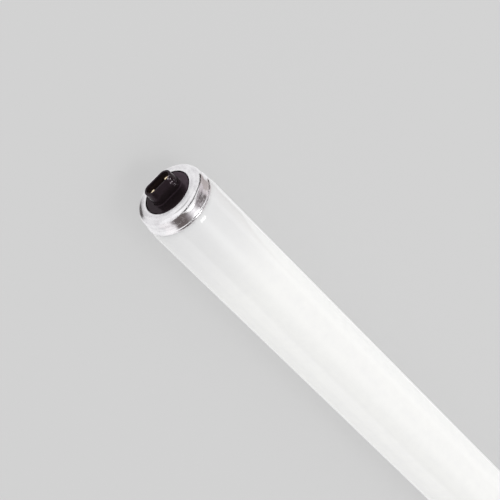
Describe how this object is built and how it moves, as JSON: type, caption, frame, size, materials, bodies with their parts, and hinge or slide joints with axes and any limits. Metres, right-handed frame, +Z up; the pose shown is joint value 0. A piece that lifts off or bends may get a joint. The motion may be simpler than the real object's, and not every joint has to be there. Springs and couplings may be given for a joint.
{
  "type": "fluorescent tube",
  "caption": "Straight white fluorescent tube with bright metal end caps and black recessed-contact plugs, held between lampholders to give light.",
  "frame": {"origin": "middle of the tube, on its axis", "axes": "+X along the tube, +Y along the long side of the plugs, +Z up"},
  "size_m": [0.556, 0.0382, 0.038],
  "materials": {
    "coated_glass": "clear glossy glass over an opaque white coat",
    "bright_aluminium": "bright drawn sheet",
    "black_phenolic": "glossy moulded",
    "brass": "formed strip",
    "nickel_wire": "drawn wire",
    "basing_cement": "matt cement"
  },
  "bodies": {
    "root": {"glass_tube": "coated_glass", "left_cap_shell": "bright_aluminium", "left_base_insulator": "black_phenolic", "left_basing_cement": "basing_cement", "left_front_contact": "brass", "left_front_lead_wire": "nickel_wire", "left_rear_contact": "brass", "left_rear_lead_wire": "nickel_wire", "right_cap_shell": "bright_aluminium", "right_base_insulator": "black_phenolic", "right_basing_cement": "basing_cement", "right_front_contact": "brass", "right_front_lead_wire": "nickel_wire", "right_rear_contact": "brass", "right_rear_lead_wire": "nickel_wire"}
  },
  "joints": []
}
